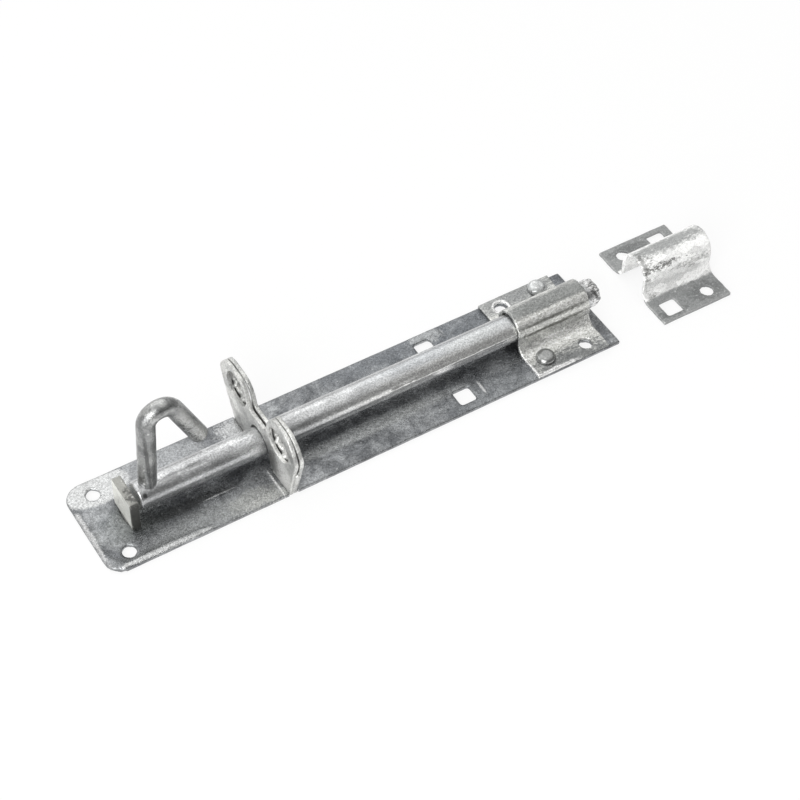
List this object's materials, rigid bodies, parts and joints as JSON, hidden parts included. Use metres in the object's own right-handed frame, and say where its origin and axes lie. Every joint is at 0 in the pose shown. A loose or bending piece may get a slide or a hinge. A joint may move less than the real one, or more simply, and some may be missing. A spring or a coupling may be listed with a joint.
{
  "type": "padbolt",
  "caption": "Padbolt for a door or gate: round bolt with a hooked handle, eared staple for a padlock, guide strap, end stop and a separate keep.",
  "frame": {"origin": "centre of the backplate's underside, on the door's face under the bolt's axis", "axes": "+X along the bolt towards the keep, +Y across the backplate to its far side, +Z away from the door"},
  "size_m": [0.3158, 0.065, 0.0625],
  "materials": {
    "plate_zinc": "hot-dip galvanised, mottled",
    "stop_zinc": "hot-dip galvanised, mottled",
    "staple_zinc": "hot-dip galvanised, mottled",
    "strap_zinc": "hot-dip galvanised, mottled",
    "rivet_zinc": "hot-dip galvanised, mottled",
    "keep_zinc": "hot-dip galvanised, mottled",
    "bolt_zinc": "hot-dip galvanised, mottled",
    "handle_zinc": "hot-dip galvanised, mottled"
  },
  "bodies": {
    "mounting": {"backplate": "plate_zinc", "stop_plate": "stop_zinc", "staple_handle_side_plate": "staple_zinc", "staple_strap_side_plate": "staple_zinc", "guide_strap": "strap_zinc", "strap_rivets": "rivet_zinc", "keep": "keep_zinc"},
    "bolt": {"bolt_bar": "bolt_zinc"},
    "handle": {"hook_handle": "handle_zinc"}
  },
  "joints": [
    {"name": "bolt_slide", "type": "slide", "parent": "mounting", "child": "bolt", "axis": [1, 0, 0], "range_m": [-0.0017, 0.045]},
    {"name": "handle_turn", "type": "hinge", "parent": "bolt", "child": "handle", "pos_m": [-0.0966, 0, 0.0113], "axis": [1, 0, 0], "range_deg": [-98.5, 98.5]}
  ]
}
